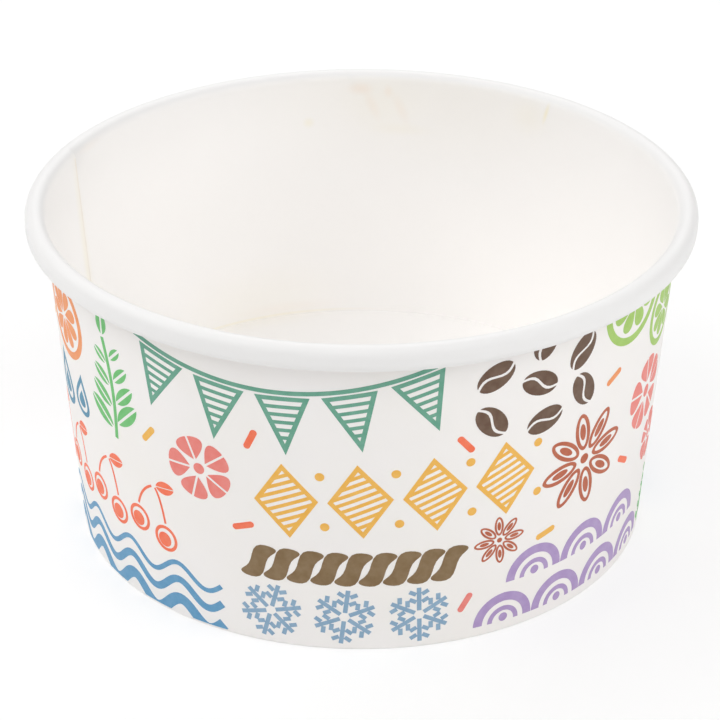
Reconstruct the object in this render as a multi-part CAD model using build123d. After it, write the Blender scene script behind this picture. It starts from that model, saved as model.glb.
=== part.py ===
from build123d import *
import os
from math import acos, asin, atan2, cos, degrees, radians, sin, tan

# Paper dessert cup, made of two blanks of coated paperboard: a conical side wall, glued along a lapped
# seam, rolled outwards at the rim and folded in at the foot, and a base disc whose skirt that fold holds.
# Millimetres, +Z up. The origin is the centre of the foot, on the surface that the cup stands on.

# Overall sizes
RIM_DIAMETER = 88.0
FOOT_DIAMETER = 76.4
HEIGHT = 46.0

# Thickness of the two boards, and of the glue line between them
WALL_BOARD = 0.35
BASE_BOARD = 0.32
GLUE_LINE = 0.03

# Rim: the wall's top edge, rolled outwards, down and back under into a hollow upright oval.
# Each of the roll's three bends turns in this many equal creases.
ROLL_WIDTH = 2.7
ROLL_HEIGHT = 3.35
ROLL_END_GAP = 0.08
ROLL_CREASES = 3

# Foot: the wall's bottom edge, creased twice and folded in and up round the skirt of the base
FOLD_HEIGHT = 6.4

# Base: a flat floor, and a skirt that ends just above the fold.
# The bend between them turns in this many equal creases.
FLOOR_HEIGHT = 9.0
CORNER_RADIUS = 0.9
CORNER_CREASES = 2
SKIRT_END_GAP = 0.25

# Side seam: the wall's outer end lies on its inner end, and eases back to the single wall beside it.
# The angle is that of the inner end's cut edge, counter-clockwise from +X.
SEAM_ANGLE = 160.0
SEAM_LAP = 7.0
SEAM_EASE = 3.5

# The roll bends round two centres, one above the other, and the wall runs from the foot to meet it in line
ROLL_BEND = (ROLL_WIDTH - WALL_BOARD) / 2
ROLL_DROP = ROLL_HEIGHT - ROLL_WIDTH
ROLL_BOTTOM = HEIGHT - ROLL_HEIGHT
ROLL_CENTRE = Vector(RIM_DIAMETER / 2 - ROLL_WIDTH / 2, HEIGHT - ROLL_WIDTH / 2)
FOOT_TO_ROLL = ROLL_CENTRE - Vector(FOOT_DIAMETER / 2, 0)
TAPER = atan2(FOOT_TO_ROLL.X, FOOT_TO_ROLL.Y) - asin((ROLL_BEND - WALL_BOARD / 2) / FOOT_TO_ROLL.length)

# The fold's pocket takes the skirt with a glue line on each side
POCKET = BASE_BOARD + 2 * GLUE_LINE


def wall_radius(height, depth=0.0):
    """Radius, at a height, of the cone that lies at a depth inside the wall's outer face."""
    return FOOT_DIAMETER / 2 + height * tan(TAPER) - depth / cos(TAPER)


def revolved(section):
    """Solid of a section that is drawn as radius and height."""
    return revolve(Plane.XZ * section, Axis.Z)


def bend(centre, radius, start, end, creases):
    """Corners of a board that turns round a centre, from one polar angle to another, in equal creases."""
    turn = (end - start) / creases
    reach = radius / cos(radians(turn / 2))
    return [centre + Vector(reach, 0).rotate(Axis.Z, start + turn * (i + 0.5)) for i in range(creases)]


def wall_section():
    """Section of the wall's board, from the folded-in edge round the foot and up to the rolled edge."""
    middle = WALL_BOARD / 2
    fold_depth = middle + WALL_BOARD + POCKET
    foot = [
        (wall_radius(FOLD_HEIGHT, fold_depth), FOLD_HEIGHT),
        (wall_radius(middle, fold_depth), middle),
        (wall_radius(middle, middle), middle),
    ]

    # The under side of the roll turns until the board's cut edge is a small gap away from the wall
    lower_centre = ROLL_CENTRE - Vector(0, ROLL_DROP)
    edge_reach = wall_radius(lower_centre.Y) + ROLL_END_GAP - lower_centre.X
    edge_angle = -degrees(TAPER + acos(edge_reach * cos(TAPER) / (ROLL_WIDTH / 2)))
    roll = [
        *bend(ROLL_CENTRE, ROLL_BEND, 180 - degrees(TAPER), 90, ROLL_CREASES),
        *bend(ROLL_CENTRE, ROLL_BEND, 90, 0, ROLL_CREASES),
        *bend(lower_centre, ROLL_BEND, 0, edge_angle, ROLL_CREASES),
        lower_centre + Vector(ROLL_BEND, 0).rotate(Axis.Z, edge_angle),
    ]
    return trace(Polyline(*foot, *roll), WALL_BOARD)


def seam_prism(section):
    """Solid along the seam, from just above the foot's fold to just under the roll."""
    ends = (WALL_BOARD, ROLL_BOTTOM)
    return loft([Pos(0, 0, height) * make_face(section(height)) for height in ends], ruled=True)


def side_wall():
    ease_start = SEAM_ANGLE - degrees(SEAM_EASE / wall_radius(HEIGHT / 2))
    lap_end = SEAM_ANGLE + degrees(SEAM_LAP / wall_radius(HEIGHT / 2))

    def on_circle(radius, angle):
        return Vector(radius, 0).rotate(Axis.Z, angle)

    def outer_lap(height):
        """Second thickness on the outside, which fades out over the ease and is sunk half a board deep."""
        root, face, lap = (wall_radius(height, depth) for depth in (WALL_BOARD / 2, 0, -WALL_BOARD))
        return [
            Line(on_circle(root, ease_start), on_circle(face, ease_start)),
            Line(on_circle(face, ease_start), on_circle(lap, SEAM_ANGLE)),
            CenterArc((0, 0), lap, SEAM_ANGLE, lap_end - SEAM_ANGLE),
            Line(on_circle(lap, lap_end), on_circle(root, lap_end)),
            CenterArc((0, 0), root, ease_start, lap_end - ease_start),
        ]

    def inner_step(height):
        """Room on the inside where the single wall eases away from the lapped end's cut edge."""
        face, back, open_side = (
            wall_radius(height, depth) for depth in (WALL_BOARD, 0, WALL_BOARD + GLUE_LINE)
        )
        return [
            Line(on_circle(open_side, ease_start), on_circle(face, ease_start)),
            Line(on_circle(face, ease_start), on_circle(back, SEAM_ANGLE)),
            Line(on_circle(back, SEAM_ANGLE), on_circle(open_side, SEAM_ANGLE)),
            Line(on_circle(open_side, SEAM_ANGLE), on_circle(open_side, ease_start)),
        ]

    return revolved(wall_section()) + seam_prism(outer_lap) - seam_prism(inner_step)


def base_disc():
    middle = BASE_BOARD / 2
    floor_level = FLOOR_HEIGHT - middle
    skirt_depth = WALL_BOARD + GLUE_LINE + middle
    skirt_end = WALL_BOARD + SKIRT_END_GAP
    bend_level = floor_level - CORNER_RADIUS
    bend_centre = Vector(wall_radius(bend_level, skirt_depth + CORNER_RADIUS), bend_level)
    centre_line = Polyline(
        (0, floor_level),
        *bend(bend_centre, CORNER_RADIUS, 90, -degrees(TAPER), CORNER_CREASES),
        (wall_radius(skirt_end, skirt_depth), skirt_end),
    )
    return revolved(trace(centre_line, BASE_BOARD))


os.makedirs("parts", exist_ok=True)
export_step(side_wall(), "parts/side_wall.step")
export_step(base_disc(), "parts/base_disc.step")
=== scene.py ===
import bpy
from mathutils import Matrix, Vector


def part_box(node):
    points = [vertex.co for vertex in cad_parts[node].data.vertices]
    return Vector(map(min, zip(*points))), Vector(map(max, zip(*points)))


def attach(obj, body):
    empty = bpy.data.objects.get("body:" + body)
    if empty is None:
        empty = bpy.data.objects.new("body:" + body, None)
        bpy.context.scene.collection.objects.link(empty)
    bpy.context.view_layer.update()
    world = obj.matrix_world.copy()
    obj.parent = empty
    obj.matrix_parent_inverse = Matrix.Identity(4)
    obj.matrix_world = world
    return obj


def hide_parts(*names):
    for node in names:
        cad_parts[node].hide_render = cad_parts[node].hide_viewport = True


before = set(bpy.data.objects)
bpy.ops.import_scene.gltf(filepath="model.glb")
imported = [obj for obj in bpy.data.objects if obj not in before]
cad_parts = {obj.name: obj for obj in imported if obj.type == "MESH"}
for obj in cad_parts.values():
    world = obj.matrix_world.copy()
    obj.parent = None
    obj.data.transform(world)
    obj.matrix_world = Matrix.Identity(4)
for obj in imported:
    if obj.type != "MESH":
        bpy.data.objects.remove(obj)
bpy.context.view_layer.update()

from math import acos, asin, atan2, ceil, cos, degrees, pi, radians, sin, tan

import bmesh
import bpy
from mathutils import Matrix, Vector

# Side wall: one blank of white board, wrapped to a cone and glued where its ends lap. Its top edge is rolled
# outwards into a hollow rim, and its bottom edge is folded in and up round the base's skirt and pressed with
# fine upright ribs. It is drawn in millimetres as a middle surface, which is then given its thickness.
MM = 0.001
RIM_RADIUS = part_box("side_wall")[1].x / MM
CUP_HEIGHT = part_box("side_wall")[1].z / MM
FOOT_RADIUS = 38.2
WALL_BOARD = 0.35
ROLL_WIDTH = 2.7
ROLL_HEIGHT = 3.35
ROLL_END_GAP = 0.08
FOLD_HEIGHT = 6.4
FOLD_POCKET = 0.38
FOLD_BEND = 0.25
SEAM_ANGLE = 160.0
SEAM_LAP = 7.0
SEAM_EASE = 3.5
LAP_FOOT = 0.6
LAP_OPEN = 1.0
LAP_TOP = 42.85
LAP_COLUMNS = 12
SEAM_EDGE = 0.35
SEAM_EDGE_TOP = 44.6
RIBS = 120
RIB_DEPTH = 0.09
COLUMNS = 480
FOLD_ROWS = 6
BEND_ROWS = 5
WALL_ROWS = 30
ROLL_ROWS = 9
UNDER_ROWS = 12
MERGE = 0.001
SLACK = 0.01
TURN_SLACK = 0.0001

ROLL_BEND = (ROLL_WIDTH - WALL_BOARD) / 2
ROLL_CENTRE = Vector((RIM_RADIUS - ROLL_WIDTH / 2, 0, CUP_HEIGHT - ROLL_WIDTH / 2))
ROLL_LOWER_CENTRE = ROLL_CENTRE - Vector((0, 0, ROLL_HEIGHT - ROLL_WIDTH))
FOOT_TO_ROLL = ROLL_CENTRE - Vector((FOOT_RADIUS, 0, 0))
TAPER = atan2(FOOT_TO_ROLL.x, FOOT_TO_ROLL.z) - asin((ROLL_BEND - WALL_BOARD / 2) / FOOT_TO_ROLL.length)


def wall_radius(height, depth=0.0):
    """Radius, at a height, of the cone that lies at a depth inside the wall's outer face."""
    return FOOT_RADIUS + height * tan(TAPER) - depth / cos(TAPER)


def draw_line(sheet, corner, place, steps=1):
    """Draws a section on from a corner, straight to a place, and returns its new end."""
    start = corner.co.copy()
    for step in range(steps):
        corner = bmesh.ops.extrude_vert_indiv(sheet, verts=[corner])["verts"][0]
        corner.co = start.lerp(place, (step + 1) / steps)
    return corner


def draw_bend(sheet, corner, centre, turn, steps):
    """Draws a section on from a corner, round a centre, and returns its end. A right bend is positive."""
    swept = bmesh.ops.spin(sheet, geom=[corner], cent=centre, axis=(0, 1, 0), angle=turn, steps=steps)
    return next(part for part in swept["geom_last"] if isinstance(part, bmesh.types.BMVert))


def beside(centre, reach, angle):
    """Place at a reach from a centre, at a polar angle in the section's plane."""
    return centre + Vector((reach * cos(angle), 0, reach * sin(angle)))


def spin_round(sheet, columns):
    """Spins a drawn section round the cup's axis into a closed sheet."""
    bmesh.ops.spin(
        sheet, geom=sheet.verts[:] + sheet.edges[:], cent=(0, 0, 0), axis=(0, 0, 1), angle=2 * pi,
        steps=columns, use_merge=True,
    )
    bmesh.ops.remove_doubles(sheet, verts=sheet.verts, dist=MERGE)
    bmesh.ops.recalc_face_normals(sheet, faces=sheet.faces)


# Stages of the wall's section: the foot's fold, what the seam parts and laps, and the roll's outer turn
FOLD, LAPPED, TURNED = range(3)


def wall_sheet():
    """The wall's blank, wrapped and rolled, as a closed sheet whose seam column lies at angle 0."""
    fold_depth = FOLD_POCKET + 1.5 * WALL_BOARD
    bend_height = WALL_BOARD / 2 + FOLD_BEND
    inner_bend = Vector((wall_radius(bend_height, fold_depth - FOLD_BEND), 0, bend_height))
    outer_bend = Vector((wall_radius(bend_height, WALL_BOARD / 2 + FOLD_BEND), 0, bend_height))
    edge_reach = wall_radius(ROLL_LOWER_CENTRE.z) + ROLL_END_GAP - ROLL_LOWER_CENTRE.x
    under_turn = TAPER + acos(edge_reach * cos(TAPER) / (ROLL_WIDTH / 2))
    sheet = bmesh.new()
    stage = sheet.verts.layers.int.new("stage")
    end = sheet.verts.new((wall_radius(FOLD_HEIGHT, fold_depth), 0, FOLD_HEIGHT))
    end = draw_line(sheet, end, beside(inner_bend, FOLD_BEND, pi - TAPER), FOLD_ROWS)
    end = draw_bend(sheet, end, inner_bend, -pi / 2 - TAPER, BEND_ROWS)
    end = draw_line(sheet, end, beside(outer_bend, FOLD_BEND, -pi / 2))
    end = draw_bend(sheet, end, outer_bend, -pi / 2 + TAPER, BEND_ROWS)
    folded = len(sheet.verts)
    end = draw_line(sheet, end, Vector((wall_radius(LAP_FOOT, WALL_BOARD / 2), 0, LAP_FOOT)))
    end = draw_line(sheet, end, Vector((wall_radius(LAP_OPEN, WALL_BOARD / 2), 0, LAP_OPEN)))
    end = draw_line(sheet, end, Vector((wall_radius(LAP_TOP, WALL_BOARD / 2), 0, LAP_TOP)), WALL_ROWS)
    end = draw_line(sheet, end, beside(ROLL_CENTRE, ROLL_BEND, pi - TAPER))
    end = draw_bend(sheet, end, ROLL_CENTRE, pi / 2 - TAPER, ROLL_ROWS)
    lapped = len(sheet.verts)
    end = draw_bend(sheet, end, ROLL_CENTRE, pi / 2, ROLL_ROWS)
    end = draw_line(sheet, end, beside(ROLL_LOWER_CENTRE, ROLL_BEND, 0))
    draw_bend(sheet, end, ROLL_LOWER_CENTRE, under_turn, UNDER_ROWS)
    for count, corner in enumerate(sheet.verts):
        corner[stage] = FOLD if count < folded else LAPPED if count < lapped else TURNED
    spin_round(sheet, COLUMNS)
    return sheet


def press_ribs(sheet):
    """Presses upright ribs into the folded-in edge, away from the skirt behind it."""
    stage = sheet.verts.layers.int["stage"]
    for vert in sheet.verts:
        if vert[stage] == FOLD and vert.co.z > 3 * WALL_BOARD:
            angle = atan2(vert.co.y, vert.co.x)
            vert.co.xy -= vert.co.xy.normalized() * RIB_DEPTH * (1 - cos(RIBS * angle)) / 2


def turn_piece(sheet, verts, angle):
    """Turns some of a sheet's corners round the cup's axis."""
    bmesh.ops.rotate(sheet, verts=verts, cent=(0, 0, 0), matrix=Matrix.Rotation(angle, 3, "Z"))


def lap_seam(sheet):
    """Parts the wall at the seam, eases one end out by a board's thickness and laps it over the other."""
    stage = sheet.verts.layers.int["stage"]
    ease_turn = SEAM_EASE / wall_radius(CUP_HEIGHT / 2)
    lap_turn = SEAM_LAP / wall_radius(CUP_HEIGHT / 2)

    def on_seam(vert):
        return vert.co.x > 0 and abs(vert.co.y) < MERGE and vert[stage] == LAPPED

    bmesh.ops.split_edges(sheet, edges=[edge for edge in sheet.edges if all(map(on_seam, edge.verts))])
    outer_end = []
    for vert in sheet.verts:
        angle = atan2(vert.co.y, vert.co.x)
        if on_seam(vert) and all(face.calc_center_median().y < 0 for face in vert.link_faces):
            outer_end.append(vert)
            angle = 0
        elif angle > -TURN_SLACK:
            continue
        if vert[stage] != FOLD and vert.co.z > LAP_FOOT + SLACK and angle > -ease_turn:
            roll_share = min(1, max(0, (ROLL_CENTRE.x - vert.co.xy.length) / ROLL_BEND))
            vert.co.xy += vert.co.xy.normalized() * WALL_BOARD * roll_share * (1 + angle / ease_turn)
    under_roll = [vert for vert in outer_end if vert.co.z < LAP_TOP + SLACK]
    flap = [
        edge for edge in sheet.edges
        if edge.is_boundary and all(vert in under_roll for vert in edge.verts)
    ]
    for _ in range(LAP_COLUMNS):
        grown = bmesh.ops.extrude_edge_only(sheet, edges=flap)["geom"]
        corners = [part for part in grown if isinstance(part, bmesh.types.BMVert)]
        turn_piece(sheet, corners, lap_turn / LAP_COLUMNS)
        flap = [
            part for part in grown
            if isinstance(part, bmesh.types.BMEdge) and part.is_boundary
            and all(vert in corners for vert in part.verts)
        ]


def mark_seam_edge_and_shadow(sheet, finish):
    """Gives a strip along the inner end's cut edge its own finish, a darker, warmer tone that is partly
    board showing through the coat and partly painted shadow of the seam's step.
    """
    stage = sheet.verts.layers.int["stage"]
    edge_turn = SEAM_EDGE / wall_radius(CUP_HEIGHT / 2)

    def beside_seam(face):
        middle = face.calc_center_median()
        near = middle.z < SEAM_EDGE_TOP and 0 < atan2(middle.y, middle.x) < 3 * edge_turn
        inner = middle.xy.length < wall_radius(middle.z)
        return near and inner and all(vert[stage] == LAPPED for vert in face.verts)

    near = [face for face in sheet.faces if beside_seam(face)]
    edges = {edge for face in near for edge in face.edges}
    corners = {vert for face in near for vert in face.verts}
    bmesh.ops.bisect_plane(
        sheet, geom=[*near, *edges, *corners], plane_co=(0, 0, 0),
        plane_no=(-sin(edge_turn), cos(edge_turn), 0),
    )
    for face in filter(beside_seam, sheet.faces):
        middle = face.calc_center_median()
        if atan2(middle.y, middle.x) < edge_turn:
            face.material_index = finish


def dent_rim(sheet, angle, lean, foot, depth, width):
    """Presses a slight crease into the wall from inside, from a foot up to the rim, on a leaning line."""
    stage = sheet.verts.layers.int["stage"]
    for vert in sheet.verts:
        if vert[stage] == LAPPED and vert.co.z > foot:
            line = radians(angle + lean * (CUP_HEIGHT - vert.co.z))
            off = (atan2(vert.co.y, vert.co.x) - line) * vert.co.xy.length / width
            if abs(off) < 1:
                share = min(1, (vert.co.z - foot) / 2) * (1 - off * off) ** 2
                vert.co.xy += vert.co.xy.normalized() * depth * share


def clouded_finish(name, ground, cloud, cloud_size, roughness, grain_size, grain):
    """A paper finish: one tone clouds into another over some millimetres, under a fine raised grain."""
    material = bpy.data.materials.new(name)
    material.use_nodes = True
    nodes = material.node_tree.nodes
    links = material.node_tree.links
    shader = nodes["Principled BSDF"]
    shader.inputs["Roughness"].default_value = roughness
    place = nodes.new("ShaderNodeTexCoord")
    clouds = nodes.new("ShaderNodeTexNoise")
    clouds.inputs["Scale"].default_value = 1 / (cloud_size * MM)
    clouds.inputs["Detail"].default_value = 4
    tones = nodes.new("ShaderNodeValToRGB")
    tones.color_ramp.elements[0].position = 0.35
    tones.color_ramp.elements[0].color = (*ground, 1)
    tones.color_ramp.elements[1].position = 0.65
    tones.color_ramp.elements[1].color = (*cloud, 1)
    fibres = nodes.new("ShaderNodeTexNoise")
    fibres.inputs["Scale"].default_value = 1 / (grain_size * MM)
    fibres.inputs["Detail"].default_value = 3
    relief = nodes.new("ShaderNodeBump")
    relief.inputs["Strength"].default_value = grain
    relief.inputs["Distance"].default_value = 0.05 * MM
    links.new(place.outputs["Object"], clouds.inputs["Vector"])
    links.new(clouds.outputs["Fac"], tones.inputs["Fac"])
    links.new(tones.outputs["Color"], shader.inputs["Base Color"])
    links.new(place.outputs["Object"], fibres.inputs["Vector"])
    links.new(fibres.outputs["Fac"], relief.inputs["Height"])
    links.new(relief.outputs["Normal"], shader.inputs["Normal"])
    return material


def lay_over(finish, amount, colour):
    """Lays another colour over a finish, by an amount that one of its nodes gives."""
    nodes = finish.node_tree.nodes
    links = finish.node_tree.links
    base = nodes["Principled BSDF"].inputs["Base Color"]
    mix = nodes.new("ShaderNodeMixRGB")
    mix.inputs["Color2"].default_value = (*colour, 1)
    links.new(amount, mix.inputs["Fac"])
    links.new(base.links[0].from_socket, mix.inputs["Color1"])
    links.new(mix.outputs["Color"], base)


def fade(finish, measure, start, end, strength):
    """An amount that grows softly from nothing to its strength as a measure goes from start to end."""
    share = finish.node_tree.nodes.new("ShaderNodeMapRange")
    share.interpolation_type = "SMOOTHSTEP"
    share.inputs["From Min"].default_value = start
    share.inputs["From Max"].default_value = end
    share.inputs["To Max"].default_value = strength
    finish.node_tree.links.new(measure, share.inputs["Value"])
    return share.outputs["Result"]


def tint(finish, axes, start, end, colour):
    """Turns a finish to another colour as its distance along some axes goes from start to end."""
    nodes = finish.node_tree.nodes
    links = finish.node_tree.links
    along = nodes.new("ShaderNodeVectorMath")
    along.operation = "MULTIPLY"
    along.inputs[1].default_value = axes
    distance = nodes.new("ShaderNodeVectorMath")
    distance.operation = "LENGTH"
    links.new(nodes["Texture Coordinate"].outputs["Object"], along.inputs[0])
    links.new(along.outputs["Vector"], distance.inputs[0])
    lay_over(finish, fade(finish, distance.outputs["Value"], start * MM, end * MM, 1), colour)


def soil_and_shade(finish, angle, height, width, length, depth, lean, colour, strength):
    """Leaves a faint mark inside the wall, which fades out at its width round it and its length upwards.
    Most marks are stains; a few are painted shade.
    """
    nodes = finish.node_tree.nodes
    links = finish.node_tree.links
    radius = wall_radius(height, WALL_BOARD)
    turn = radians(angle)
    spot = nodes.new("ShaderNodeMapping")
    spot.vector_type = "TEXTURE"
    spot.inputs["Location"].default_value = (radius * cos(turn) * MM, radius * sin(turn) * MM, height * MM)
    spot.inputs["Rotation"].default_value = (radians(-lean), 0, turn)
    spot.inputs["Scale"].default_value = (depth * MM, width * MM, length * MM)
    away = nodes.new("ShaderNodeVectorMath")
    away.operation = "LENGTH"
    links.new(nodes["Texture Coordinate"].outputs["Object"], spot.inputs["Vector"])
    links.new(spot.outputs["Vector"], away.inputs[0])
    lay_over(finish, fade(finish, away.outputs["Value"], 1, 0, strength), colour)


def tone(red, green, blue):
    """Colour for a shader from the red, green and blue that a screen shows, 0 to 255."""
    return [((part / 255 + 0.055) / 1.055) ** 2.4 for part in (red, green, blue)]


def finished_piece(name, drawing, *finishes):
    """Turns a drawing in millimetres into a piece of the cup, in metres."""
    bmesh.ops.scale(drawing, vec=(MM, MM, MM), verts=drawing.verts)
    mesh = bpy.data.meshes.new(name)
    drawing.to_mesh(mesh)
    drawing.free()
    for finish in finishes:
        mesh.materials.append(finish)
    piece = bpy.data.objects.new(name, mesh)
    bpy.context.scene.collection.objects.link(piece)
    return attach(piece, "root")


def give_thickness(piece, thickness):
    """Gives a sheet its board's thickness. A face's finish is followed by its back's and its cut edges'."""
    piece.data.shade_smooth()
    board = piece.modifiers.new("board", "SOLIDIFY")
    board.thickness = thickness * MM
    board.offset = 0
    board.use_even_offset = True
    board.material_offset = 1
    board.material_offset_rim = 2
    edges = piece.modifiers.new("crisp cut edges", "EDGE_SPLIT")
    edges.split_angle = radians(45)


# Radii at which the painted shade on the rolled rim starts and becomes full
ROLL_SHADE_START = 41.2
ROLL_SHADE_FULL = 41.8
SEAM_FINISH = 3
amber = tone(246, 222, 200)
pale_yellow = tone(248, 240, 212)
inside_coat = clouded_finish(
    "inside_coat", tone(250, 248, 246), tone(251, 249, 247),
    cloud_size=8, roughness=0.52, grain_size=0.5, grain=0.12,
)

# Faint stains, and the painted shade in the corner where the wall meets the floor: angle round the cup,
# height, width, length, depth, lean, colour and strength
STAINS_AND_SHADE = (
    (78, 45.0, 40, 16, 20, 0, pale_yellow, 0.12),
    (86.0, 41.4, 7.5, 6.0, 4, 0, pale_yellow, 0.12),
    (90.2, 43.7, 2.6, 1.4, 3, 0, amber, 0.28),
    (87.9, 41.3, 1.2, 3.6, 3, 24, amber, 0.16),
    (84.6, 43.3, 1.0, 1.4, 3, 0, amber, 0.2),
    (82.0, 40.7, 1.2, 3.6, 3, 24, amber, 0.15),
    (82.0, 37.7, 6.0, 1.4, 3, 0, pale_yellow, 0.14),
    (100.8, 38.8, 1.2, 1.1, 3, 0, pale_yellow, 0.34),
    (50.7, 43.8, 0.5, 2.4, 3, -14, pale_yellow, 0.7),
    (54.6, 42.6, 4.4, 4.0, 3, 0, pale_yellow, 0.16),
    (155.0, 45.1, 4.6, 1.2, 3, 0, amber, 0.12),
    (160.5, 28.0, 1.8, 36, 3, 0, pale_yellow, 0.34),
    # Painted shade: a warm line along the corner where the wall meets the floor, and warm clouds on the wall
    # above it, stand in for the warm shade in that corner
    (116.0, 9.3, 32, 0.35, 10, 0, pale_yellow, 0.4),
    (107.0, 10.2, 12, 1.6, 5, 0, amber, 0.1),
    (114.0, 12.0, 20, 8.0, 5, 0, pale_yellow, 0.13),
)
for faint_mark in STAINS_AND_SHADE:
    soil_and_shade(inside_coat, *faint_mark)
# Painted shade: the rolled rim, outwards from where the roll starts, is turned a light grey that stands in
# for the shading on the roll
tint(inside_coat, (1, 1, 0), ROLL_SHADE_START, ROLL_SHADE_FULL, tone(238, 237, 236))
outside_coat = clouded_finish(
    "outside_coat", tone(246, 243, 241), tone(245, 242, 238),
    cloud_size=14, roughness=0.52, grain_size=0.4, grain=0.15,
)
# Finish of the strip at the seam's cut edge: partly board showing through the coat, partly painted shadow of
# the step there
seam_edge_and_shadow = clouded_finish(
    "seam_edge_and_shadow", tone(245, 240, 232), tone(242, 236, 227),
    cloud_size=1.5, roughness=0.5, grain_size=0.2, grain=0.2,
)
cut_board = clouded_finish(
    "cut_board", tone(240, 228, 196), tone(230, 214, 178),
    cloud_size=0.6, roughness=0.8, grain_size=0.08, grain=0.5,
)

wall = wall_sheet()
press_ribs(wall)
lap_seam(wall)
mark_seam_edge_and_shadow(wall, SEAM_FINISH)
turn_piece(wall, wall.verts, radians(SEAM_ANGLE))
dent_rim(wall, angle=92.3, lean=0, foot=42.3, depth=0.07, width=0.9)
dent_rim(wall, angle=49.6, lean=0.38, foot=38.2, depth=0.06, width=0.9)
side_wall = finished_piece(
    "cup_wall", wall, inside_coat, outside_coat, cut_board, seam_edge_and_shadow, outside_coat, cut_board)
give_thickness(side_wall, WALL_BOARD)
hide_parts("side_wall")

# Base: a disc of the same coated board. Its border is creased down into a skirt, which sits in the pocket
# of the wall's fold, and a film of melted coating seals it to the wall.
FLOOR_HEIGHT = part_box("base_disc")[1].z / MM
BASE_BOARD = 0.32
SEAL_FILM = 0.005
SKIRT_GAP = 0.25
SKIRT_END = WALL_BOARD + SKIRT_GAP
FLOOR_RINGS = 12
SKIRT_ROWS = 3


def base_sheet():
    """The base's middle surface: a flat floor, and a skirt pressed out where the wall eases at its seam."""
    floor_level = FLOOR_HEIGHT - BASE_BOARD / 2
    skirt_depth = WALL_BOARD + SEAL_FILM + BASE_BOARD / 2
    skirt_radius = wall_radius(SKIRT_END, skirt_depth)
    ease_turn = SEAM_EASE / wall_radius(CUP_HEIGHT / 2)
    sheet = bmesh.new()
    end = sheet.verts.new((0, 0, floor_level))
    end = draw_line(sheet, end, Vector((wall_radius(floor_level, skirt_depth), 0, floor_level)), FLOOR_RINGS)
    draw_line(sheet, end, Vector((skirt_radius, 0, SKIRT_END)), SKIRT_ROWS)
    spin_round(sheet, COLUMNS)
    for vert in sheet.verts:
        angle = atan2(vert.co.y, vert.co.x)
        if vert.co.xy.length > skirt_radius + SLACK and -ease_turn < angle < -TURN_SLACK:
            vert.co.xy += vert.co.xy.normalized() * WALL_BOARD * (1 + angle / ease_turn)
    turn_piece(sheet, sheet.verts, radians(SEAM_ANGLE))
    return sheet


base = finished_piece("cup_base", base_sheet(), inside_coat, inside_coat, cut_board)
give_thickness(base, BASE_BOARD)
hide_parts("base_disc")

# Orange print: slices across a fruit, under the rim, in a film of orange ink. The blank is printed flat,
# one ink after another, and then wrapped. So each ink is a plate of shapes, in millimetres along the girth
# and up from the foot, that is bent round the wall. The design comes twice round the cup.
PRINT_RADIUS = wall_radius(CUP_HEIGHT / 2)
PRINT_FRONT = radians(270)
PRINT_FOOT = 0.45
PRINT_TOP = 42.3
PRINT_REPEATS = 2
INK_FILM = 0.05
INK_THINNING = 0.09
BEND_STEP = 1.4
CURVE_POINTS = 28
DOT_POINTS = 24
WIDTH_SAMPLES = 400
SPRINKLE_RADIUS = 0.45
SPRINKLE_REACH = 1.1


def around(reach, turn):
    """Place at a reach and an angle from a motif's middle."""
    return Vector((reach * cos(turn), reach * sin(turn)))


def stroke(motif, line, width, steps):
    """Draws a stroke of even width along a line, which gives a place at each share. A ring closes."""
    band = bmesh.ops.create_grid(motif, x_segments=steps, y_segments=1, size=0.5)["verts"]
    for vert in band:
        share = vert.co.x + 0.5
        ahead = line(share + 0.001) - line(share - 0.001)
        vert.co.xy = line(share) + ahead.orthogonal().normalized() * width * vert.co.y
    bmesh.ops.remove_doubles(motif, verts=band, dist=MERGE)


def shape(motif, outline):
    """Fills an outline, which gives a place at each angle of a full turn."""
    for vert in bmesh.ops.create_circle(motif, cap_ends=True, radius=1, segments=CURVE_POINTS)["verts"]:
        vert.co.xy = outline(atan2(vert.co.y, vert.co.x))


def petal(motif, middle, turn, root, tip, breadth, drop=0, sharp=0, vein=0, curl=0):
    """Fills a petal that points away from a middle. A drop broadens its tip, and a vein parts it in two."""
    way = around(1, turn)

    def half_width(share):
        return breadth / 2 * (4 * share * (1 - share)) ** ((1 + sharp) / 2) * share ** drop

    shares = [count / WIDTH_SAMPLES for count in range(WIDTH_SAMPLES + 1)]
    clear = [share for share in shares if half_width(share) >= vein / 2]

    def outline(angle, half):
        share = clear[0] + (clear[-1] - clear[0]) * (1 - cos(angle)) / 2
        side = half_width(share) if sin(angle) > 0 else -half_width(share)
        bow = curl * sin(2 * pi * share)
        side = half * max(half * side, half * bow + vein / 2) if half else side + bow
        return middle + way * (root + (tip - root) * share) + way.orthogonal() * side

    for half in (1, -1) if vein else (0,):
        shape(motif, lambda angle: outline(angle, half))


def stamp(plate, motif, x, y, tilt=0):
    """Puts a motif on an ink's plate at a place, in each repeat of the design."""
    repeat_width = 2 * pi * PRINT_RADIUS / PRINT_REPEATS
    stamped = bpy.data.meshes.new("motif")
    for repeat in range(PRINT_REPEATS):
        place = Matrix.Translation((x + repeat * repeat_width, y, 0))
        motif.to_mesh(stamped)
        stamped.transform(place @ Matrix.Rotation(radians(tilt), 4, "Z"))
        plate.from_mesh(stamped)
    bpy.data.meshes.remove(stamped)


def cut(plate, place, way, clear=False):
    """Cuts a plate along a line, which can clear what lies beyond it."""
    everything = plate.verts[:] + plate.edges[:] + plate.faces[:]
    bmesh.ops.bisect_plane(plate, geom=everything, plane_co=place, plane_no=way, clear_outer=clear)


def lap_lift(angle):
    """How far the wall stands out where its outer end eases over the seam's lap."""
    past_seam = ((angle - radians(SEAM_ANGLE) + pi) % (2 * pi) - pi) * PRINT_RADIUS
    return WALL_BOARD * min(1, max(0, 1 + past_seam / SEAM_EASE)) if past_seam < SEAM_LAP else 0


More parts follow.
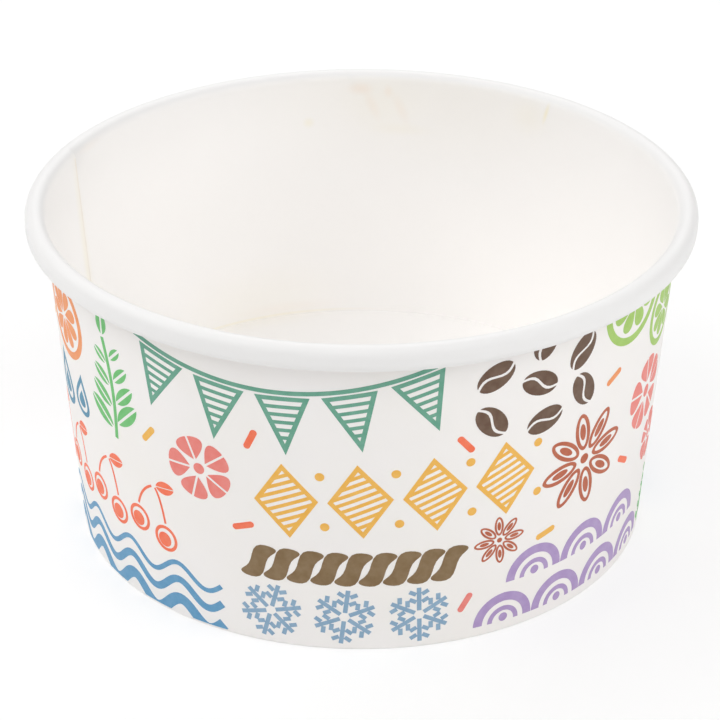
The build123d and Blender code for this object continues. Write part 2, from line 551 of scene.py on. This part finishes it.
def press(name, plate, finish):
    """Trims an ink's plate to the blank, bends it round the wall and leaves it there as a film."""
    bmesh.ops.triangulate(plate, faces=plate.faces)
    cut(plate, (0, PRINT_FOOT, 0), (0, -1, 0), clear=True)
    cut(plate, (0, PRINT_TOP, 0), (0, 1, 0), clear=True)
    girth = [vert.co.x for vert in plate.verts]
    seam = (radians(SEAM_ANGLE) - PRINT_FRONT) % (2 * pi) * PRINT_RADIUS
    steps = range(ceil(min(girth) / BEND_STEP), ceil(max(girth) / BEND_STEP))
    for bend in (*(step * BEND_STEP for step in steps), seam - SEAM_EASE, seam):
        cut(plate, (bend, 0, 0), (1, 0, 0))
    plate.normal_update()
    bmesh.ops.reverse_faces(plate, faces=[face for face in plate.faces if face.normal.z < 0])
    for vert in plate.verts:
        angle = PRINT_FRONT + vert.co.x / PRINT_RADIUS
        radius = wall_radius(vert.co.y) + lap_lift(angle)
        vert.co = (radius * cos(angle), radius * sin(angle), vert.co.y)
    piece = finished_piece(name, plate, finish)
    give_thickness(piece, INK_FILM)


def ink(name, red, green, blue):
    """A printing ink, which lies a little unevenly on the board."""
    thin = [part + INK_THINNING * (255 - part) for part in (red, green, blue)]
    return clouded_finish(
        name, tone(red, green, blue), tone(*thin), cloud_size=1.2, roughness=0.5, grain_size=0.3, grain=0.1)


def fruit_slice(radius, segments):
    """A slice across a fruit: a ring of peel round segments that narrow to the middle."""
    peel = 0.17 * radius
    motif = bmesh.new()
    stroke(motif, lambda share: around(radius - peel / 2, 2 * pi * share), peel, 60)
    for count in range(segments):
        turn = 2 * pi * (count + 0.5) / segments
        petal(motif, Vector((0, 0)), turn, 0.1 * radius, 0.74 * radius, 3.9 * radius / segments, drop=0.7)
    return motif


def sprinkle():
    """A short rod with round ends."""
    motif = bmesh.new()
    end = Vector((SPRINKLE_REACH, 0))
    shape(motif, lambda angle: around(SPRINKLE_RADIUS, angle) + (end if cos(angle) > 0 else -end))
    return motif


orange = bmesh.new()
stamp(orange, fruit_slice(radius=6.0, segments=9), -47.6, 36.0)
stamp(orange, fruit_slice(radius=5.8, segments=10), -61.0, 40.6, 12)
stamp(orange, sprinkle(), 35.6, 32.6, 25)
press("orange_print", orange, ink("orange_ink", 240, 145, 80))

# Lime print: slices of a second fruit with fewer segments, one of them half under the rim. A film of
# yellow-green ink, laid on the flat blank before the wall is wrapped.
lime = bmesh.new()
stamp(lime, fruit_slice(radius=6.3, segments=8), 38.8, 42.5)
stamp(lime, fruit_slice(radius=5.2, segments=8), 49.4, 36.4, 9)
press("lime_print", lime, ink("lime_ink", 160, 200, 90))

# Green print: sprigs of mint, whose veined leaves stand in pairs and shrink towards the top. A film of leaf
# green ink, with the veins left as bare board.


def mint_sprig(height, pairs, leaf):
    """A bowed stem with pairs of leaves and one more leaf at its tip."""
    motif = bmesh.new()

    def stem(share):
        return Vector((0.05 * height * sin(3 * share), height * share))

    stroke(motif, stem, 0.1 * leaf, 24)
    for pair in range(pairs):
        size = leaf * (1 - 0.14 * pair)
        for side in (-1, 1):
            root = stem(0.1 + 0.86 * (pair + 0.15 * side) / pairs)
            turn = radians(90 - side * 50)
            petal(motif, root, turn, 0.12 * leaf, size, 0.38 * size, sharp=0.35, vein=0.06 * leaf)
    tip = 0.62 * leaf
    petal(motif, stem(1), radians(84), 0.06 * leaf, tip, 0.34 * leaf, sharp=0.35, vein=0.06 * leaf)
    return motif


green = bmesh.new()
stamp(green, mint_sprig(height=14.6, pairs=4, leaf=6.2), -35.4, 23.6, 3)
stamp(green, mint_sprig(height=7.4, pairs=4, leaf=2.4), 53.0, 1.6, -4)
press("green_print", green, ink("green_ink", 100, 190, 105))

# Teal print: pennants on a slack string below the rim, each one outlined and filled with level lines. A
# film of blue-green ink, with bare board in the gaps between the lines.
OUTLINE = 0.6
HATCH_LINE = 0.5
STRING_START = -29.4
STRING_SPAN = 40.0
STRING_HEIGHT = 41.6
STRING_SAG = 4.0
STRING_RISE = 1.2
PENNANT_HANG = 0.55
FIELD = 1


def outlined(motif, corners, size):
    """Draws a straight-sided figure of some corners as an outline of even width round a field."""
    bmesh.ops.create_circle(
        motif, cap_ends=True, radius=1, segments=corners, matrix=Matrix.Diagonal((*size, 1, 1)))
    field = motif.faces[:]
    bmesh.ops.inset_individual(motif, faces=field, thickness=OUTLINE, use_even_offset=True)
    field[0].material_index = FIELD


def hatch(motif, lines, tilt=0):
    """Cuts a figure's field into a number of lines, evenly apart, and clears the gaps between them."""
    across = Vector((-sin(radians(tilt)), cos(radians(tilt)), 0))

    def fields():
        return [face for face in motif.faces if face.material_index == FIELD]

    reach = [vert.co.dot(across) for vert in fields()[0].verts]
    gap = (max(reach) - min(reach) - lines * HATCH_LINE) / (lines + 1)
    starts = [min(reach) + gap + (gap + HATCH_LINE) * line for line in range(lines)]
    for edge in [start + part for start in starts for part in (0, HATCH_LINE)]:
        field_parts = {part for face in fields() for part in (*face.verts, *face.edges, face)}
        bmesh.ops.bisect_plane(motif, geom=list(field_parts), plane_co=across * edge, plane_no=across)

    def in_gap(face):
        place = face.calc_center_median().dot(across)
        return not any(start < place < start + HATCH_LINE for start in starts)

    bmesh.ops.delete(motif, geom=list(filter(in_gap, fields())), context="FACES")
    for face in motif.faces:
        face.material_index = 0


def pennant(width, drop):
    """A hatched triangle that hangs by its broad side."""
    motif = bmesh.new()
    outlined(motif, 3, (width / 1.73, -drop / 1.5))
    hatch(motif, 5)
    bmesh.ops.translate(motif, vec=(0, -drop / 3, 0), verts=motif.verts)
    return motif


def pennant_string(share):
    """The string's place at a share of its length, slack between its two ends."""
    sag = 4 * STRING_SAG * share * (1 - share)
    return Vector((STRING_START + STRING_SPAN * share, STRING_HEIGHT - sag + STRING_RISE * share))


teal = bmesh.new()
string = bmesh.new()
stroke(string, pennant_string, OUTLINE, 40)
stamp(teal, string, 0, 0)
for place in (0.1, 0.3, 0.5, 0.7, 0.9):
    ahead = pennant_string(place + 0.01) - pennant_string(place - 0.01)
    hang = pennant_string(place) - Vector((0, PENNANT_HANG))
    stamp(teal, pennant(width=6.7, drop=8.4), hang.x, hang.y, degrees(atan2(ahead.y, ahead.x)))
press("teal_print", teal, ink("teal_ink", 95, 160, 135))

# Cocoa print: a handful of beans, each one parted by a curled slit. A film of dark brown ink, with the
# slits left as bare board.


def bean(length):
    """A bean that lies along the girth."""
    motif = bmesh.new()
    petal(motif, Vector((0, 0)), 0, -length / 2, length / 2, 0.64 * length, vein=0.4, curl=0.1 * length)
    return motif


BEANS = (
    (16.2, 39.2, 35), (22.4, 36.7, -20), (28.8, 39.2, 58), (16.0, 32.8, -48),
    (23.6, 31.0, 18), (29.6, 33.4, -62), (22.8, 42.6, 75),
)
cocoa = bmesh.new()
for x, y, tilt in BEANS:
    stamp(cocoa, bean(length=5.4), x, y, tilt)
press("cocoa_print", cocoa, ink("cocoa_ink", 98, 70, 50))

# Blue print: two falling drops, each one a band round a smaller drop. A film of mid blue ink, laid on the
# flat blank as the others are.


def hollow(motif, middle, along, across):
    """Opens the field that was drawn last. Its hole has the field's own form, drawn in towards a middle."""
    motif.faces.ensure_lookup_table()
    field = motif.faces[-1]
    bmesh.ops.inset_individual(motif, faces=[field], thickness=0)
    bmesh.ops.scale(motif, vec=(along, across, 1), verts=field.verts, space=Matrix.Translation(-middle))
    bmesh.ops.delete(motif, geom=[field], context="FACES")


def falling_drop(length):
    """An outlined drop with its point up, and a smaller drop in it."""
    motif = bmesh.new()
    petal(motif, Vector((0, 0)), radians(-90), 0, length, length, drop=0.8)
    hollow(motif, Vector((0, -0.66 * length, 0)), 0.72, 0.72)
    petal(motif, Vector((0, 0)), radians(-90), 0.4 * length, 0.8 * length, 0.45 * length, drop=0.8)
    return motif


blue = bmesh.new()
stamp(blue, falling_drop(length=8.2), -51.4, 29.6, 6)
stamp(blue, falling_drop(length=6.4), -43.9, 29.0, -8)
press("blue_print", blue, ink("blue_ink", 62, 134, 168))

# Coral print: pairs of cherries, each one a ring round an off-centre disc, and a scatter of sprinkles. A
# film of orange-red ink on the outside of the wall.


def dot(motif, place, radius):
    """Fills a round dot."""
    bmesh.ops.create_circle(
        motif, cap_ends=True, radius=radius, segments=DOT_POINTS, matrix=Matrix.Translation((*place, 0)))


def cherry_pair(radius):
    """Two cherries on stems that meet under a leaf."""
    motif = bmesh.new()
    for side, drop in ((-1, 0), (1, 0.5)):
        middle = Vector((1.25 * side, -drop)) * radius
        top = middle + Vector((0, 1.2 * radius))
        bend = Vector((0.9 * side, 2.6)) * radius
        joint = Vector((0.25 + 0.16 * side, 3.2)) * radius

        def stem(share):
            return top.lerp(bend, share).lerp(bend.lerp(joint, share), share)

        stroke(motif, lambda share: middle + around(0.88 * radius, 2 * pi * share), 0.24 * radius, 40)
        dot(motif, middle + Vector((-0.1, -0.12)) * radius, 0.56 * radius)
        stroke(motif, stem, 0.18 * radius, 16)
    leaf = Vector((0.4, 3.35)) * radius
    petal(motif, leaf, radians(12), 0.1 * radius, 1.7 * radius, radius, sharp=0.35, vein=0.15)
    return motif


CORAL_SPRINKLES = (
    (-62.6, 18.2, 40), (-13.6, 30.8, 65), (-15.2, 17.6, 20), (12.8, 30.2, -50), (40.8, 17.8, -30),
)
coral = bmesh.new()
for count in range(4):
    stamp(coral, cherry_pair(radius=1.95), -58.4 + 9.5 * count, 13.4 - 0.2 * count, -4)
for x, y, tilt in CORAL_SPRINKLES:
    stamp(coral, sprinkle(), x, y, tilt)
press("coral_print", coral, ink("coral_ink", 246, 110, 70))

# Ochre print: a row of upright lozenges with dots between them, outlined and filled with slanting lines,
# and a few sprinkles. A film of dark yellow ink, with bare board in the gaps between the lines.


def lozenge(width, height):
    """A hatched lozenge with a dot at each side of its right corner."""
    motif = bmesh.new()
    outlined(motif, 4, (width / 2, height / 2))
    hatch(motif, 8, 20)
    for side in (-1, 1):
        dot(motif, (0.56 * width, 0.34 * height * side), 0.6)
    return motif


ochre = bmesh.new()
for count in range(4):
    stamp(ochre, lozenge(width=8.2, height=11.0), -9.4 + 9.3 * count, 22.4 + 0.5 * count, 4)
for x, y, tilt in ((-55.8, 32.6, 30), (-28.8, 27.0, 50), (25.4, 13.4, 15)):
    stamp(ochre, sprinkle(), x, y, tilt)
press("ochre_print", ochre, ink("ochre_ink", 240, 180, 70))

# Rust print: a large and a small star of eight open pods, with a seed in each pod. A film of red-brown ink
# on the outside of the wall.


def pod_star(radius, pods):
    """A star of outlined pods, each with a seed in it, round a dot."""
    motif = bmesh.new()
    dot(motif, (0, 0), 0.1 * radius)
    for count in range(pods):
        petal(motif, Vector((0, 0)), 0, 0.2 * radius, radius, 0.36 * radius, sharp=0.1)
        hollow(motif, Vector((0.6 * radius, 0, 0)), 0.8, 0.56)
        petal(motif, Vector((0, 0)), 0, 0.42 * radius, 0.78 * radius, 0.14 * radius)
        bmesh.ops.rotate(motif, verts=motif.verts, matrix=Matrix.Rotation(2 * pi / pods, 3, "Z"))
    return motif


rust = bmesh.new()
stamp(rust, pod_star(radius=7.2, pods=8), 31.2, 22.4, 11)
stamp(rust, pod_star(radius=3.6, pods=8), 18.2, 14.6, 5)
press("rust_print", rust, ink("rust_ink", 182, 88, 52))

# Pink print: blossoms of five veined petals, and one sprinkle. A film of warm pink ink, with the veins left
# as bare board.
PETALS = 5


def blossom(radius):
    """Petals, broad at their tips, round a dot."""
    motif = bmesh.new()
    for count in range(PETALS):
        turn = 2 * pi * (count + 0.25) / PETALS
        petal(motif, Vector((0, 0)), turn, 0.26 * radius, radius, 1.2 * radius, drop=0.6, vein=0.07 * radius)
    dot(motif, (0, 0), 0.17 * radius)
    return motif


BLOSSOMS = ((-62.2, 27.4, 5.0, 30), (-21.0, 24.6, 4.6, 20), (46.4, 25.4, 5.2, 8), (51.6, 16.2, 3.7, -14))
pink = bmesh.new()
for x, y, radius, tilt in BLOSSOMS:
    stamp(pink, blossom(radius), x, y, tilt)
stamp(pink, sprinkle(), 13.8, 6.0, 60)
press("pink_print", pink, ink("pink_ink", 235, 125, 115))

# Sky print: three ripples along the foot, the lowest of which runs out at the wall's edge. A film of light
# blue ink on the outside of the wall.
RIPPLE_WIDTH = 46.0
RIPPLES = 5


def ripple(rise, width):
    """One rippling line."""
    motif = bmesh.new()

    def line(share):
        return Vector((RIPPLE_WIDTH * share, rise * sin(2 * pi * RIPPLES * share)))

    stroke(motif, line, width, 24 * RIPPLES)
    return motif


sky = bmesh.new()
for y, rise, width in ((7.9, 1.3, 0.7), (5.2, 1.4, 1.1), (2.0, 1.5, 1.7)):
    stamp(sky, ripple(rise, width), -65.0, y, -1)
press("sky_print", sky, ink("sky_ink", 86, 150, 192))

# Olive print: a twisted cord, drawn as one slanting strand after another. A film of olive brown ink on the
# outside of the wall.
olive = bmesh.new()
strand = bmesh.new()
petal(strand, Vector((0, 0)), 0, -3.2, 3.2, 2.5, curl=-0.7)
for count in range(9):
    stamp(olive, strand, -13.4 + 3.1 * count, 12.6, 42)
press("olive_print", olive, ink("olive_ink", 125, 98, 60))

# Steel print: ice crystals with six feathered arms, in a row above the foot. A film of grey-blue ink on the
# outside of the wall.


def crystal(radius, width):
    """Six arms, each with two pairs of barbs."""
    motif = bmesh.new()
    for arm in range(6):
        turn = pi * arm / 3
        stroke(motif, lambda share: around(radius * (0.16 + 0.84 * share), turn), width, 2)
        for reach in (0.42, 0.7):
            for side in (-1, 1):
                root = around(radius * reach, turn)
                way = around(1, turn + side * pi / 3)
                stroke(motif, lambda share: root + way * (0.75 * width + 0.24 * radius * share), width, 2)
    return motif


steel = bmesh.new()
for count in range(3):
    stamp(steel, crystal(radius=4.2, width=0.6), -12.0 + 9.8 * count, 5.2, 14 + 9 * count)
press("steel_print", steel, ink("steel_ink", 132, 166, 194))

# Lilac print: two rows of double scallops near the foot, with a dot under each. A film of light violet ink
# on the outside of the wall.


def scallop(radius):
    """A broad bow over a fine one, with a dot under both."""
    motif = bmesh.new()
    for reach, width in ((radius, 1.3), (radius - 1.8, 0.7)):
        stroke(motif, lambda share: around(reach, pi * share), width, 30)
    dot(motif, (0, 0.6), 0.65)
    return motif


lilac = bmesh.new()
for row, count in ((0, 4), (1, 3)):
    for place in range(count):
        stamp(lilac, scallop(radius=3.8), 19.6 + 9.0 * (place + row / 2), 1.6 + 6.0 * row)
press("lilac_print", lilac, ink("lilac_ink", 170, 145, 195))

# Studio: a plain white floor, which looks white to the camera but keeps the cup's shadow, five soft lamps
# all round the cup, and the camera in front of it, looking down into its mouth.
CAMERA_PLACE = Vector((0, -0.33141, 0.19881))
CAMERA_TARGET = Vector((-0.00019, 0, 0.02124))
CAMERA_LENS = 138.98
SENSOR_WIDTH = 36
WORLD_LIGHT = 0.25
FLOOR_REACH = 3
SHADOW_LIFT = 0.6
scene = bpy.context.scene
scene.view_settings.view_transform = "Standard"

camera = bpy.data.objects.new("camera", bpy.data.cameras.new("camera"))
camera.data.lens = CAMERA_LENS
camera.data.sensor_width = SENSOR_WIDTH
camera.data.clip_start = 0.01
camera.location = CAMERA_PLACE
camera.rotation_euler = (CAMERA_TARGET - CAMERA_PLACE).to_track_quat("-Z", "Y").to_euler()
scene.collection.objects.link(camera)
scene.camera = camera

world = bpy.data.worlds.new("studio")
scene.world = world
world.use_nodes = True
world.node_tree.nodes["Background"].inputs["Color"].default_value = (1, 1, 1, 1)
world.node_tree.nodes["Background"].inputs["Strength"].default_value = WORLD_LIGHT


def softbox(name, place, size, power):
    """A square lamp that faces the cup."""
    lamp = bpy.data.objects.new(name, bpy.data.lights.new(name, "AREA"))
    lamp.data.size = size
    lamp.data.energy = power
    lamp.location = place
    lamp.rotation_euler = (CAMERA_TARGET - lamp.location).to_track_quat("-Z", "Y").to_euler()
    scene.collection.objects.link(lamp)


softbox("front_lamp", place=(0, -0.75, 1.0), size=0.8, power=4.4)
softbox("left_lamp", place=(-0.85, -0.22, 0.9), size=0.8, power=4.9)
softbox("right_lamp", place=(1.0, -0.3, 0.6), size=0.9, power=5.4)
softbox("back_lamp", place=(0, 0.9, 0.9), size=0.9, power=4.2)
softbox("back_left_lamp", place=(-0.8, 0.5, 0.8), size=0.8, power=3.0)

floor_drawing = bmesh.new()
bmesh.ops.create_grid(floor_drawing, x_segments=1, y_segments=1, size=FLOOR_REACH)
floor_mesh = bpy.data.meshes.new("floor")
floor_drawing.to_mesh(floor_mesh)
floor_drawing.free()
floor = bpy.data.objects.new("floor", floor_mesh)
scene.collection.objects.link(floor)
floor_paper = clouded_finish(
    "floor_paper", (1, 1, 1), (0.99, 0.99, 0.99), cloud_size=60, roughness=0.8, grain_size=1, grain=0.02)
floor_mesh.materials.append(floor_paper)

nodes = floor_paper.node_tree.nodes
links = floor_paper.node_tree.links
rays = nodes.new("ShaderNodeLightPath")
seen = rays.outputs["Is Camera Ray"]
for ray in ("Is Glossy Ray", "Is Transmission Ray"):
    either = nodes.new("ShaderNodeMath")
    either.operation = "ADD"
    links.new(seen, either.inputs[0])
    links.new(rays.outputs[ray], either.inputs[1])
    seen = either.outputs["Value"]
share = nodes.new("ShaderNodeMath")
share.operation = "MULTIPLY"
share.inputs[1].default_value = SHADOW_LIFT
links.new(seen, share.inputs[0])
white = nodes.new("ShaderNodeEmission")
white.inputs["Color"].default_value = (1, 1, 1, 1)
lift = nodes.new("ShaderNodeMixShader")
links.new(share.outputs["Value"], lift.inputs["Fac"])
links.new(nodes["Principled BSDF"].outputs["BSDF"], lift.inputs[1])
links.new(white.outputs["Emission"], lift.inputs[2])
links.new(lift.outputs["Shader"], nodes["Material Output"].inputs["Surface"])
